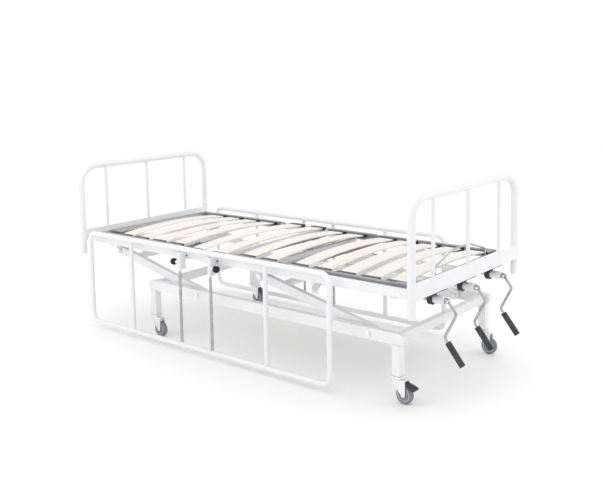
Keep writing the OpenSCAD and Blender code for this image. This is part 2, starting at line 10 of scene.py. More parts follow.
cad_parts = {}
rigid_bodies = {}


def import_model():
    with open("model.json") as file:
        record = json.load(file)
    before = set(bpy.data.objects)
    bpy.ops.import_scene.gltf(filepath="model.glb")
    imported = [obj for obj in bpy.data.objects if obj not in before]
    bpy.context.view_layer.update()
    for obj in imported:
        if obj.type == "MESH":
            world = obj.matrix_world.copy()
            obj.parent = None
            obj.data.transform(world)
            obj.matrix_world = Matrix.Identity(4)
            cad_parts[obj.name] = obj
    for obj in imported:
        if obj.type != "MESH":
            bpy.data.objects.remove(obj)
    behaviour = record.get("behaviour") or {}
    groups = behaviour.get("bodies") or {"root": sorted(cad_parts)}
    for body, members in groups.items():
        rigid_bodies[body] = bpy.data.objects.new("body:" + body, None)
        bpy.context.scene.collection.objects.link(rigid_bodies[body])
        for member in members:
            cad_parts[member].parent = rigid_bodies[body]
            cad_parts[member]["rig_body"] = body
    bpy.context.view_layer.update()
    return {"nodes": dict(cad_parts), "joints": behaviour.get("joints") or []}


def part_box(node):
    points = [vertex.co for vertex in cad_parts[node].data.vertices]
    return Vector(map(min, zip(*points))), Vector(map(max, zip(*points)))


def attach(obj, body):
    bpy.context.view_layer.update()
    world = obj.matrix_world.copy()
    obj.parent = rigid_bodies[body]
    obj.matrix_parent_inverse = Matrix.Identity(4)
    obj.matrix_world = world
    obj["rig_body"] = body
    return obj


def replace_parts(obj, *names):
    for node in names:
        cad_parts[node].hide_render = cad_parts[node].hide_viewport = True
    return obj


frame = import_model()
NODES = frame["nodes"]

# ---------------------------------------------------------------- mesh helpers


def add_mesh(name, verts, faces, body, mat, sharp=35, uvs=None):
    """A new piece from vertices and faces, smooth but for edges over `sharp` degrees."""
    me = bpy.data.meshes.new(name)
    me.from_pydata([tuple(v) for v in verts], [], faces)
    me.update()
    if uvs:
        layer = me.uv_layers.new(name="grain")
        for loop in me.loops:
            layer.data[loop.index].uv = uvs[loop.vertex_index]
    me.shade_smooth()
    me.set_sharp_from_angle(angle=math.radians(sharp))
    ob = bpy.data.objects.new(name, me)
    bpy.context.scene.collection.objects.link(ob)
    me.materials.append(mat)
    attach(ob, body)
    return ob


def frames_along(points, closed):
    """A frame (side, up) at each point of a path, carried along without twist."""
    n = len(points)
    tangents = []
    for i in range(n):
        a = points[i - 1] if (i or closed) else points[0]
        b = points[(i + 1) % n] if (i < n - 1 or closed) else points[-1]
        tangents.append((b - a).normalized())
    up = Vector((0, 0, 1)) if abs(tangents[0].z) < 0.9 else Vector((1, 0, 0))
    side = tangents[0].cross(up).normalized()
    out = []
    for t in tangents:
        side = (side - t * side.dot(t)).normalized()
        out.append((side, t.cross(side).normalized()))
    return out


def circle(p, f, r, n):
    """Points of a circle about p in the plane of the frame f."""
    turns = (2 * math.pi * k / n for k in range(n))
    return [p + f[0] * (r * math.cos(a)) + f[1] * (r * math.sin(a)) for a in turns]


def face_out(ob):
    """Turns all of an object's faces outwards."""
    bm = bmesh.new()
    bm.from_mesh(ob.data)
    bmesh.ops.recalc_face_normals(bm, faces=list(bm.faces))
    bm.to_mesh(ob.data)
    bm.free()
    return ob


class Shape:
    """Collects vertices and faces of one piece, which may be several shells."""

    def __init__(self):
        self.verts, self.faces = [], []

    def ring_strip(self, rings, close_path=False):
        """Joins rings of vertices, each a list of the same length, into a skin."""
        start, m = len(self.verts), len(rings[0])
        for ring in rings:
            self.verts += ring
        last = len(rings) if close_path else len(rings) - 1
        for i in range(last):
            a, b = start + i * m, start + ((i + 1) % len(rings)) * m
            for k in range(m):
                j = (k + 1) % m
                self.faces.append((a + k, a + j, b + j, b + k))
        return start, start + (len(rings) - 1) * m, m

    def cap(self, first, m, flip):
        """Closes an end ring with one face."""
        ring = list(range(first, first + m))
        self.faces.append(tuple(ring[::-1] if flip else ring))

    def rod(self, points, radius, segments=28, chamfer=0.0, bore=0.0, deep=0.0):
        """A round rod along an open path; a bore opens both its ends to that radius and depth."""
        points = [Vector(p) for p in points]
        fr = frames_along(points, False)
        rings = [circle(p, f, radius, segments) for p, f in zip(points, fr)]
        for end, inner in ((0, 1), (-1, -2)):
            p, f = points[end], fr[end]
            inward = (points[inner] - p).normalized()
            extra = []
            if chamfer:
                rings[end] = circle(p + inward * chamfer, f, radius, segments)
                extra.append(circle(p, f, radius - chamfer, segments))
            if bore:
                extra.append(circle(p, f, bore, segments))
                extra.append(circle(p + inward * deep, f, bore, segments))
            rings = rings + extra if end else extra[::-1] + rings
        first, last, m = self.ring_strip(rings)
        self.cap(first, m, False)
        self.cap(last, m, True)
        return self

    def loop(self, points, radius, segments=24):
        """A round rod along a closed path."""
        points = [Vector(p) for p in points]
        fr = frames_along(points, True)
        self.ring_strip([circle(p, f, radius, segments) for p, f in zip(points, fr)], close_path=True)
        return self

    def turned(self, origin, axis, profile, segments=48, wobble=None):
        """A solid of revolution: profile is (distance along axis, radius) from one end to the other."""
        origin, axis = Vector(origin), Vector(axis).normalized()
        u = axis.orthogonal().normalized()
        v = axis.cross(u)
        rings = []
        for along, r in profile:
            ring = []
            for k in range(segments):
                a = 2 * math.pi * k / segments
                rr = max(r + (wobble(along, a) if wobble else 0.0), 1e-5)
                ring.append(origin + axis * along + u * (rr * math.cos(a)) + v * (rr * math.sin(a)))
            rings.append(ring)
        first, last, m = self.ring_strip(rings)
        self.cap(first, m, False)
        self.cap(last, m, True)
        return self

    def bar(self, lo, hi, r=0.002, steps=3):
        """A box with its edges rounded to r."""
        lo, hi = Vector(lo), Vector(hi)
        bm = bmesh.new()
        bmesh.ops.create_cube(bm, size=1.0)
        size, mid = hi - lo, (hi + lo) / 2
        for v in bm.verts:
            v.co = Vector((v.co.x * size.x, v.co.y * size.y, v.co.z * size.z)) + mid
        bmesh.ops.bevel(bm, geom=list(bm.edges), offset=r, segments=steps, profile=0.5, affect="EDGES")
        self.take(bm)
        return self

    def take(self, bm):
        """Takes over a bmesh's vertices and faces, and frees it."""
        start = len(self.verts)
        bm.verts.ensure_lookup_table()
        bm.verts.index_update()
        self.verts += [v.co.copy() for v in bm.verts]
        self.faces += [tuple(start + v.index for v in f.verts) for f in bm.faces]
        bm.free()

    def piece(self, name, body, slot, mat, sharp=35):
        """Makes the object, riding on a body and facing outwards."""
        return face_out(add_mesh(name, self.verts, self.faces, body, mat, sharp))


def bent(corners, radius, steps=10, closed=False):
    """Points along a path whose corners are rounded to radius."""
    corners = [Vector(c) for c in corners]
    n = len(corners)
    out = []
    for i, c in enumerate(corners):
        if not closed and i in (0, n - 1):
            out.append(c)
            continue
        a = (c - corners[i - 1]).normalized()
        b = (corners[(i + 1) % n] - c).normalized()
        turn = a.angle(b)
        if turn < 1e-4:
            out.append(c)
            continue
        cut = radius * math.tan(turn / 2)
        centre = c - a * cut + (b - a * a.dot(b)).normalized() * radius
        p, q = c - a * cut - centre, c + b * cut - centre
        for k in range(steps + 1):
            s = k / steps
            v = (p * math.sin((1 - s) * turn) + q * math.sin(s * turn)) / math.sin(turn)
            out.append(centre + v)
    return out


def refined(node, width, mat, steps=2):
    """A copy of a CAD node's mesh with its sharp edges rounded to width; it replaces the node."""
    src = NODES[node]
    bm = bmesh.new()
    bm.from_mesh(src.data)
    bmesh.ops.remove_doubles(bm, verts=list(bm.verts), dist=1e-6)
    bmesh.ops.dissolve_limit(
        bm, angle_limit=math.radians(1.0), verts=list(bm.verts), edges=list(bm.edges), delimit=set()
    )
    me = bpy.data.meshes.new(node + "_shape")
    bm.to_mesh(me)
    bm.free()
    ob = bpy.data.objects.new(node + "_shape", me)
    bpy.context.scene.collection.objects.link(ob)
    me.shade_smooth()
    me.set_sharp_from_angle(angle=math.radians(30))
    mod = ob.modifiers.new("edges", "BEVEL")
    mod.width = width
    mod.segments = steps
    mod.limit_method = "ANGLE"
    mod.angle_limit = math.radians(40)
    mod.use_clamp_overlap = True
    mod.harden_normals = False
    me.materials.clear()
    me.materials.append(mat)
    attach(ob, src["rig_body"])
    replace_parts(ob, node)
    return ob


# ---------------------------------------------------------------- materials


class Mat:
    """A node-based material; coordinates are the bed's own metres."""

    def __init__(self, name, colour, rough, metallic=0.0):
        self.m = bpy.data.materials.new(name)
        self.m.use_nodes = True
        self.t = self.m.node_tree
        self.b = self.t.nodes["Principled BSDF"]
        self.b.inputs["Base Color"].default_value = (*colour, 1)
        self.b.inputs["Roughness"].default_value = rough
        self.b.inputs["Metallic"].default_value = metallic
        self.coords = self.t.nodes.new("ShaderNodeTexCoord").outputs["Object"]

    def node(self, kind, **values):
        """A new shader node with these settings."""
        n = self.t.nodes.new(kind)
        for k, v in values.items():
            setattr(n, k, v)
        return n

    def scaled(self, x, y, z):
        """The coordinates stretched along each axis."""
        mp = self.node("ShaderNodeMapping")
        mp.inputs["Scale"].default_value = (x, y, z)
        self.t.links.new(self.coords, mp.inputs["Vector"])
        return mp.outputs["Vector"]

    def noise(self, scale, detail=4.0, rough=0.55, vector=None, distort=0.0):
        """A noise texture's factor; its middle values lie between about 0.3 and 0.7."""
        n = self.node("ShaderNodeTexNoise")
        n.inputs["Scale"].default_value = scale
        n.inputs["Detail"].default_value = detail
        n.inputs["Roughness"].default_value = rough
        n.inputs["Distortion"].default_value = distort
        self.t.links.new(vector or self.coords, n.inputs["Vector"])
        return n.outputs["Fac"]

    def cells(self, scale):
        """The distance to the nearest cell of a Voronoi texture."""
        n = self.node("ShaderNodeTexVoronoi")
        n.inputs["Scale"].default_value = scale
        self.t.links.new(self.coords, n.inputs["Vector"])
        return n.outputs["Distance"]

    def ramp(self, source, stops):
        """A colour ramp; stops are (place, colour)."""
        r = self.node("ShaderNodeValToRGB")
        els = r.color_ramp.elements
        els[0].position, els[0].color = stops[0][0], (*stops[0][1], 1)
        els[1].position, els[1].color = stops[-1][0], (*stops[-1][1], 1)
        for pos, col in stops[1:-1]:
            e = els.new(pos)
            e.color = (*col, 1)
        self.t.links.new(source, r.inputs["Fac"])
        return r.outputs["Color"]

    def mix(self, fac, a, b, blend="MIX"):
        """Two colours mixed; each of the three may be a value or another node's output."""
        n = self.node("ShaderNodeMix", data_type="RGBA", blend_type=blend)
        for sock, v in ((n.inputs[0], fac), (n.inputs[6], a), (n.inputs[7], b)):
            if hasattr(v, "links"):
                self.t.links.new(v, sock)
            else:
                sock.default_value = v if isinstance(v, float) else (*v, 1)
        return n.outputs[2]

    def span(self, source, lo, hi):
        """A noise factor spread over lo to hi."""
        n = self.node("ShaderNodeMapRange")
        n.inputs["From Min"].default_value = 0.3
        n.inputs["From Max"].default_value = 0.7
        n.inputs["To Min"].default_value = lo
        n.inputs["To Max"].default_value = hi
        self.t.links.new(source, n.inputs["Value"])
        return n.outputs["Result"]

    def colour(self, source):
        self.t.links.new(source, self.b.inputs["Base Color"])
        return self

    def roughness(self, source, lo, hi):
        self.t.links.new(self.span(source, lo, hi), self.b.inputs["Roughness"])
        return self

    def bump(self, source, depth, strength=1.0):
        n = self.node("ShaderNodeBump")
        n.inputs["Distance"].default_value = depth
        n.inputs["Strength"].default_value = strength
        self.t.links.new(source, n.inputs["Height"])
        self.t.links.new(n.outputs["Normal"], self.b.inputs["Normal"])
        return self


def white_powder():
    m = Mat("white_powder_coat", (0.80, 0.80, 0.82), 0.36)
    m.colour(m.ramp(m.noise(6.0, 3.0), [(0.3, (0.805, 0.807, 0.820)), (0.7, (0.845, 0.847, 0.858))]))
    m.roughness(m.noise(40.0, 3.0), 0.28, 0.42)
    m.bump(m.noise(420.0, 3.0, 0.6), 0.00035, 0.22)
    m.b.inputs["Coat Weight"].default_value = 0.25
    m.b.inputs["Coat Roughness"].default_value = 0.18
    return m.m


def dark_powder():
    m = Mat("dark_grey_powder_coat", (0.12, 0.12, 0.14), 0.42)
    m.colour(m.ramp(m.noise(9.0, 4.0), [(0.3, (0.235, 0.235, 0.248)), (0.7, (0.305, 0.305, 0.322))]))
    m.roughness(m.noise(60.0), 0.34, 0.52)
    m.bump(m.noise(650.0, 3.0, 0.6), 0.0003, 0.3)
    return m.m


def chrome():
    m = Mat("chrome_plate", (0.45, 0.45, 0.46), 0.12, 1.0)
    m.colour(m.ramp(m.noise(25.0, 2.0), [(0.35, (0.40, 0.40, 0.41)), (0.65, (0.50, 0.50, 0.505))]))
    m.roughness(m.noise(120.0, 5.0), 0.08, 0.2)
    m.bump(m.noise(300.0, 2.0), 0.0001, 0.08)
    return m.m


def zinc():
    m = Mat("zinc_plate", (0.6, 0.61, 0.63), 0.38, 0.7)
    spangle = [(0.0, (0.80, 0.81, 0.825)), (0.6, (0.91, 0.915, 0.925)), (1.0, (0.87, 0.87, 0.86))]
    m.colour(m.ramp(m.cells(240.0), spangle))
    m.roughness(m.noise(90.0, 4.0), 0.24, 0.46)
    m.bump(m.noise(800.0, 3.0), 0.0001, 0.15)
    return m.m


def black_moulded():
    m = Mat("black_moulded_plastic", (0.028, 0.028, 0.03), 0.45)
    m.colour(m.ramp(m.noise(30.0, 3.0), [(0.3, (0.020, 0.020, 0.022)), (0.7, (0.042, 0.042, 0.045))]))
    m.roughness(m.noise(200.0, 4.0), 0.36, 0.56)
    m.bump(m.noise(1400.0, 2.0, 0.7), 0.00018, 0.35)
    return m.m


def black_gloss():
    m = Mat("black_knob_plastic", (0.02, 0.02, 0.021), 0.2)
    m.colour(m.ramp(m.noise(40.0, 2.0), [(0.3, (0.010, 0.010, 0.011)), (0.7, (0.02, 0.02, 0.022))]))
    m.roughness(m.noise(150.0, 3.0), 0.15, 0.28)
    m.bump(m.noise(260.0, 2.0), 0.0001, 0.1)
    m.b.inputs["Specular IOR Level"].default_value = 0.2
    return m.m


def grip_rubber():
    m = Mat("grip_rubber", (0.035, 0.035, 0.037), 0.6)
    m.colour(m.ramp(m.noise(60.0, 4.0), [(0.3, (0.028, 0.028, 0.03)), (0.7, (0.06, 0.06, 0.064))]))
    m.roughness(m.noise(180.0, 4.0), 0.5, 0.72)
    m.bump(m.noise(1600.0, 2.0, 0.7), 0.00025, 0.4)
    return m.m


def tyre_rubber():
    m = Mat("grey_tyre_rubber", (0.2, 0.205, 0.23), 0.62)
    m.colour(m.ramp(m.noise(50.0, 4.0), [(0.3, (0.16, 0.165, 0.19)), (0.7, (0.25, 0.255, 0.285))]))
    m.roughness(m.noise(120.0, 4.0), 0.52, 0.74)
    m.bump(m.noise(900.0, 3.0, 0.7), 0.0002, 0.35)
    return m.m


def hub_plastic():
    m = Mat("wheel_hub_plastic", (0.62, 0.63, 0.65), 0.38)
    m.colour(m.ramp(m.noise(35.0, 3.0), [(0.3, (0.56, 0.57, 0.59)), (0.7, (0.68, 0.69, 0.71))]))
    m.roughness(m.noise(100.0, 3.0), 0.3, 0.48)
    m.bump(m.noise(700.0, 2.0), 0.0001, 0.2)
    return m.m


SLAT_PLIES = 5


def slat_wood():
    """Bleached laminated beech: grain along the slat, flecks across, thin plies on the edges."""
    m = Mat("laminated_beech", (0.86, 0.79, 0.7), 0.42)
    along = m.scaled(70.0, 2.2, 70.0)
    fine = m.scaled(520.0, 9.0, 520.0)
    base = m.ramp(
        m.noise(1.0, 6.0, 0.6, along, 0.35),
        [(0.25, (0.80, 0.767, 0.725)), (0.5, (0.89, 0.865, 0.83)), (0.75, (0.94, 0.922, 0.897))],
    )
    flecks = m.ramp(m.noise(1.0, 2.0, 0.5, fine), [(0.36, (0.80, 0.74, 0.67)), (0.5, (1.0, 1.0, 1.0))])
    col = m.mix(0.35, base, flecks, "MULTIPLY")
    uv = m.node("ShaderNodeUVMap", uv_map="grain").outputs["UV"]
    sep = m.node("ShaderNodeSeparateXYZ")
    m.t.links.new(uv, sep.inputs["Vector"])
    ply = m.node("ShaderNodeMath", operation="SINE")
    mul = m.node("ShaderNodeMath", operation="MULTIPLY")
    mul.inputs[1].default_value = SLAT_PLIES * 2 * math.pi
    m.t.links.new(sep.outputs["Y"], mul.inputs[0])
    m.t.links.new(mul.outputs[0], ply.inputs[0])
    plies = m.ramp(ply.outputs[0], [(0.0, (0.78, 0.69, 0.58)), (0.45, (1.0, 1.0, 1.0))])
    m.colour(m.mix(0.3, col, plies, "MULTIPLY"))
    m.roughness(m.noise(1.0, 4.0, 0.5, along), 0.32, 0.5)
    m.bump(m.noise(1.0, 3.0, 0.6, fine), 0.0002, 0.3)
    m.b.inputs["Coat Weight"].default_value = 0.2
    m.b.inputs["Coat Roughness"].default_value = 0.25
    return m.m


WHITE, DARK, CHROME, ZINC = white_powder(), dark_powder(), chrome(), zinc()
BLACK, GLOSS, GRIP, TYRE, HUB, WOOD = (
    black_moulded(), black_gloss(), grip_rubber(), tyre_rubber(), hub_plastic(), slat_wood(),
)

# ---------------------------------------------------------------- camera, floor, lights

board_lo, board_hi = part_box("foot_board")
head_lo, head_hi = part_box("head_board")
mid_x = (board_lo.x + head_hi.x + board_hi.x + head_lo.x) / 4

cam_data = bpy.data.cameras.new("camera")
cam = bpy.data.objects.new("camera", cam_data)
bpy.context.scene.collection.objects.link(cam)
# the photograph's viewpoint, solved from the boards, the deck, the rails and the wheels
CAM_PLACE = (2.6611, -3.12, 1.3385)
yaw, pitch, roll = 0.683, 0.109, -0.0167
back = Vector((math.sin(yaw) * math.cos(pitch), -math.cos(yaw) * math.cos(pitch), math.sin(pitch)))
right = Vector((0, 0, 1)).cross(back).normalized()
up = back.cross(right)
r_axis = right * math.cos(roll) + up * math.sin(roll)
u_axis = up * math.cos(roll) - right * math.sin(roll)
rot = Matrix((r_axis, u_axis, back)).transposed()
cam.matrix_world = Matrix.Translation((CAM_PLACE[0] + mid_x, *CAM_PLACE[1:])) @ rot.to_4x4()
cam_data.sensor_width = 36.0
cam_data.lens = 50.01
cam_data.shift_y = -0.149
cam_data.clip_end = 60
bpy.context.scene.camera = cam


FLOOR_HALF = 14.0


def floor_material():
    m = Mat("pale_floor", (0.9, 0.9, 0.9), 0.6)
    m.colour(m.ramp(m.noise(1.2, 3.0), [(0.3, (0.962, 0.962, 0.964)), (0.7, (0.972, 0.972, 0.974))]))
    m.roughness(m.noise(30.0), 0.55, 0.65)
    return m.m


bm = bmesh.new()
bmesh.ops.create_grid(bm, x_segments=1, y_segments=1, size=FLOOR_HALF)
floor_mesh = bpy.data.meshes.new("floor")
bm.to_mesh(floor_mesh)
bm.free()
floor = bpy.data.objects.new("floor", floor_mesh)
bpy.context.scene.collection.objects.link(floor)
floor_mesh.materials.append(floor_material())


def softbox(name, place, aim, size, power):
    """A white rectangular light turned towards its aim."""
    data = bpy.data.lights.new(name, "AREA")
    data.shape = "RECTANGLE"
    data.size, data.size_y = size
    data.energy = power
    ob = bpy.data.objects.new(name, data)
    bpy.context.scene.collection.objects.link(ob)
    ob.location = place
    ob.rotation_euler = (Vector(aim) - Vector(place)).to_track_quat("-Z", "Y").to_euler()


softbox("top_softbox", (0.0, 0.3, 4.2), (0.0, 0.0, 0.0), (5.0, 4.0), 16)
softbox("key_softbox", (-2.2, -3.8, 2.4), (0.0, 0.0, 0.4), (2.4, 1.6), 22)
softbox("rim_softbox", (3.2, 2.6, 2.2), (0.0, 0.0, 0.5), (2.0, 1.6), 12)

world = bpy.data.worlds.new("studio")
world.use_nodes = True
world.node_tree.nodes["Background"].inputs["Color"].default_value = (1.0, 1.0, 1.0, 1)
world.node_tree.nodes["Background"].inputs["Strength"].default_value = 1.035
bpy.context.scene.world = world
bpy.context.scene.view_settings.view_transform = "Standard"

# ---------------------------------------------------------------- end boards

BOARD_BEND = 0.1
BOARD_BAR_R = 0.008
BOARD_BARS_Y = (-0.287, 0.0, 0.287)
SOCKET_R, SOCKET_DEEP = 0.0155, 0.06
END_T = 0.030
BEAD_R = 0.0018
BAR_FILLET = [(0.0, 0.0112), (0.0012, 0.0106), (0.003, 0.0088), (0.0038, 0.0078)]


def saddle(x, y, z, bar_r, tube_r, way, tube_along_x):
    """The line where an upright bar meets a level tube, below it (way -1) or above it (way 1)."""
    ring = []
    for k in range(24):
        a = 2 * math.pi * k / 24
        dx, dy = bar_r * math.cos(a), bar_r * math.sin(a)
        across = dy if tube_along_x else dx
        ring.append((x + dx, y + dy, z + way * (math.sqrt(tube_r * tube_r - across * across) + 0.0002)))
    return ring


end_lo, end_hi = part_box("bed_end_members")
for name in ("head_board", "foot_board"):
    lo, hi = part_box(name)
    x = (lo.x + hi.x) / 2
    r = (hi.x - lo.x) / 2
    yu, top = hi.y - r, hi.z - r
    tube, bars, beads = Shape(), Shape(), Shape()
    path = bent([(x, -yu, lo.z), (x, -yu, top), (x, yu, top), (x, yu, lo.z)], BOARD_BEND, 16)
    tube.rod(path, r, 40, chamfer=0.0008, bore=SOCKET_R, deep=SOCKET_DEEP)
    for y in BOARD_BARS_Y:
        bars.rod([(x, y, end_hi.z), (x, y, top - 0.012)], BOARD_BAR_R, 24)
        beads.turned((x, y, end_hi.z), (0, 0, 1), BAR_FILLET, 24)
        beads.loop(saddle(x, y, top, BOARD_BAR_R + 0.0005, r, -1, False), 0.0014, 8)
    for s in (-1, 1):
        ring = []
        for z, way in ((end_lo.z, 1), (end_hi.z, -1)):
            for k in range(9):
                dx = way * (k / 8 - 0.5) * END_T
                ring.append((x + dx, s * (yu - math.sqrt(r * r - dx * dx)), z))
        beads.loop(ring, BEAD_R, 8)
    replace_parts(tube.piece(name + "_tube", "bed", "white_paint", WHITE), name)
    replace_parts(bars.piece(name + "_bars", "bed", "white_paint", WHITE), name)
    beads.piece(name + "_welds", "bed", "white_paint", WHITE)

# ---------------------------------------------------------------- frames, levers, brackets and tubes

BEAMS = ("base_side_beams", "base_cross_beams", "base_legs", "bed_side_members", "bed_end_members",
         "deck_cross_tubes", "head_lever", "foot_lever")
SECTIONS = ("backrest_frame", "thigh_frame", "leg_frame")
PLATED = ("lever_base_pins", "bed_pivot_pins", "castor_housings", "push_tube_backrest", "push_tube_lift",
          "push_tube_thigh")
for nodes, width, mat, slot, steps in (
    (BEAMS, 0.0028, WHITE, "white_paint", 3),
    (("lever_hangers", "rail_guides"), 0.0008, WHITE, "white_paint", 2),
    (SECTIONS, 0.0016, DARK, "dark_paint", 2),
    (("crank_brackets",), 0.0014, BLACK, "black_plastic", 2),
    (PLATED, 0.0006, ZINC, "zinc", 2),
    (("frame_bolts",), 0.0006, BLACK, "black_bolts", 2),
):
    for node in nodes:
        refined(node, width, mat, steps)

# ---------------------------------------------------------------- weld beads of the two frames

SIDE_W = 0.030
LEG_W = 0.038
CROSS_HALF = 0.015
BED_BEAD_R = 0.0019


def weld_round(shape, corners, bead_r):
    """A bead around a square joint, given by its four corners."""
    shape.loop(bent(corners, 0.003, 3, closed=True), bead_r, 8)


bed_welds = Shape()
lo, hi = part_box("bed_side_members")
for sx in (-1, 1):
    x = mid_x + sx * (hi.x - lo.x) / 2
    for sy in (-1, 1):
        y0, y1 = sy * (hi.y - SIDE_W), sy * hi.y
        weld_round(bed_welds, [(x, y0, lo.z), (x, y1, lo.z), (x, y1, hi.z), (x, y0, hi.z)], BED_BEAD_R)
bed_welds.piece("bed_frame_welds", "bed", "white_paint", WHITE)

base_welds = Shape()
leg_lo, leg_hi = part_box("base_legs")
lo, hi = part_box("base_cross_beams")
h = LEG_W / 2
for x in (leg_lo.x + h, leg_hi.x - h):
    for sy in (-1, 1):
        y, z = sy * (leg_hi.y - h), leg_hi.z
        leg_top = [(x - h, y - h, z), (x + h, y - h, z), (x + h, y + h, z), (x - h, y + h, z)]
        weld_round(base_welds, leg_top, BEAD_R)
        x0, x1, y = x - CROSS_HALF, x + CROSS_HALF, sy * hi.y
        weld_round(base_welds, [(x0, y, lo.z), (x1, y, lo.z), (x1, y, hi.z), (x0, y, hi.z)], BEAD_R)
base_welds.piece("base_frame_welds", "base", "white_paint", WHITE)

# ---------------------------------------------------------------- slats and their end caps

SLAT_W, SLAT_T = 0.08, 0.008
CAP_SIDE = 0.004        # how far a cap stands past its slat's edges
CAP_DEPTH = {"seat": 0.028, "backrest": 0.027, "thigh": 0.027, "leg": 0.027}
SLAT_GROUPS = (("backrest", "backrest", 4), ("seat", "bed", 2), ("thigh", "thigh", 2), ("leg", "leg", 5))


def slat_mesh(name, body, x0, x1, half, z_end, rise, thick):
    """One bowed slat: a rounded section swept along its arc, with its length and thickness as UVs."""
    big = (half * half + rise * rise) / (2 * rise)
    w, r = (x1 - x0) / 2, thick * 0.42
    outline = []
    for cx, cz, a0 in ((w - r, thick / 2 - r, 0), (-w + r, thick / 2 - r, 90), (-w + r, -thick / 2 + r, 180),
                       (w - r, -thick / 2 + r, 270)):
        for k in range(5):
            a = math.radians(a0 + 90 * k / 4)
            outline.append((cx + r * math.cos(a), cz + r * math.sin(a)))
    steps = 36
    verts, faces, uvs = [], [], []
    top_angle = math.asin(half / big)
    for i in range(steps + 1):
        a = top_angle * (2 * i / steps - 1)
        for u, v in outline:
            rad = big + v
            verts.append(((x0 + x1) / 2 + u, rad * math.sin(a), z_end + rise - big + rad * math.cos(a)))
            uvs.append((i / steps, v / thick + 0.5))
    m = len(outline)
    for i in range(steps):
        for k in range(m):
            j = (k + 1) % m
            faces.append((i * m + k, i * m + j, (i + 1) * m + j, (i + 1) * m + k))
    faces.append(tuple(range(m))[::-1])
    faces.append(tuple(range(steps * m, steps * m + m)))
    return face_out(add_mesh(name, verts, faces, body, WOOD, 50, uvs))


def end_cap(shape, a, b, y_in, y_out, z0, z1):
    """A moulded cap over a slat's end, open towards the middle: roof, floor, back wall and two cheeks."""
    y0, y1 = sorted((y_in, y_out))
    back = y_out - math.copysign(0.009, y_out)
    shape.bar((a, y0, z1 - 0.0036), (b, y1, z1), 0.0012)
    shape.bar((a, y0, z0), (b, y1, z0 + 0.0034), 0.0012)
    shape.bar((a, min(back, y_out), z0 + 0.001), (b, max(back, y_out), z1 - 0.001), 0.001)
    for x in (a, b - 0.0036):
        shape.bar((x, y0 + 0.0004, z0 + 0.0008), (x + 0.0036, y1 - 0.0004, z1 - 0.0008), 0.0012)


for group, body, count in SLAT_GROUPS:
    lo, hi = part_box(group + "_slats")
    cap_lo, cap_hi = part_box(group + "_slat_holders")
    rise = hi.z - lo.z - SLAT_T
    pitch = (hi.x - lo.x - SLAT_W) / (count - 1)
    caps = Shape()
    for i in range(count):
        x0 = lo.x + i * pitch
        x1 = x0 + SLAT_W
        ob = slat_mesh(f"{group}_slat_{i + 1}", body, x0, x1, hi.y, lo.z + SLAT_T / 2, rise, SLAT_T)
        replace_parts(ob, group + "_slats")
        for s in (-1, 1):
            end_cap(caps, x0 - CAP_SIDE, x1 + CAP_SIDE, s * (cap_hi.y - CAP_DEPTH[group]), s * cap_hi.y,
                    cap_lo.z, cap_hi.z)
    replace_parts(caps.piece(group + "_slat_caps", body, "black_plastic", BLACK), group + "_slat_holders")

# ---------------------------------------------------------------- mattress retainer

HOOP_R = 0.004
HOOP_SHOULDER_Z = 0.534
HOOP_FLAT_HALF = 0.07
TAB_HALF, TAB_T = 0.007, 0.008

lo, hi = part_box("mattress_retainer")
x, y = hi.x - 0.006, hi.y - TAB_HALF
half = [(x, y, lo.z + HOOP_R), (x, y, HOOP_SHOULDER_Z), (x, HOOP_FLAT_HALF, hi.z - HOOP_R)]
hoop = Shape()
hoop.rod(bent([(a, -b, c) for a, b, c in half] + half[::-1], 0.014, 8), HOOP_R, 20)
for s in (-1, 1):
    hoop.bar((lo.x, s * y - TAB_HALF, lo.z), (hi.x, s * y + TAB_HALF, lo.z + TAB_T), 0.0012)
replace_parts(hoop.piece("mattress_retainer_hoop", "leg", "chrome", CHROME), "mattress_retainer")

# ---------------------------------------------------------------- side rails

RAIL_BEND = 0.04
RAIL_BAR_R = 0.011
RAIL_BARS_X = (mid_x - 0.602, mid_x + 0.290)
SCREW_HEAD = [(0.0, 0.0062), (0.002, 0.0062), (0.0032, 0.0055), (0.0045, 0.0038), (0.005, 0.001)]

for side in ("near", "far"):
    rail, body = side + "_rail", side + "_side_rail"
    lo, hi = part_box(rail)
    r, y = (hi.y - lo.y) / 2, (hi.y + lo.y) / 2
    x0, x1, z0, z1 = lo.x + r, hi.x - r, lo.z + r, hi.z - r
    rod_lo, rod_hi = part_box(side + "_rail_rods")
    rod_r = (rod_hi.y - rod_lo.y) / 2
    rods_x = (rod_lo.x + rod_r, rod_hi.x - rod_r)
    tube, bars, beads, rods, screws = Shape(), Shape(), Shape(), Shape(), Shape()
    tube.loop(bent([(x0, y, z0), (x1, y, z0), (x1, y, z1), (x0, y, z1)], RAIL_BEND, 12, closed=True), r, 32)
    for x in RAIL_BARS_X:
        bars.rod([(x, y, z0 + 0.005), (x, y, z1 - 0.005)], RAIL_BAR_R, 28)
    for x, bar_r in [(x, RAIL_BAR_R) for x in RAIL_BARS_X] + [(x, rod_r) for x in rods_x]:
        for z, way in ((z0, 1), (z1, -1)):
            beads.loop(saddle(x, y, z, bar_r + 0.0006, r, way, True), 0.0013, 8)
    for x in rods_x:
        rods.rod([(x, y, rod_lo.z), (x, y, rod_hi.z)], rod_r, 32)
        screws.turned((x, y, z0 - r + 0.0015), (0, 0, -1), SCREW_HEAD, 24)
    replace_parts(tube.piece(rail + "_tube", body, "white_paint", WHITE), rail)
    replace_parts(bars.piece(rail + "_bars", body, "white_paint", WHITE), rail)
    beads.piece(rail + "_welds", body, "white_paint", WHITE)
    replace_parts(rods.piece(rail + "_guide_rods", body, "chrome", CHROME), rail + "_rods")
    screws.piece(rail + "_rod_screws", body, "zinc", ZINC)

# ---------------------------------------------------------------- plunger knobs

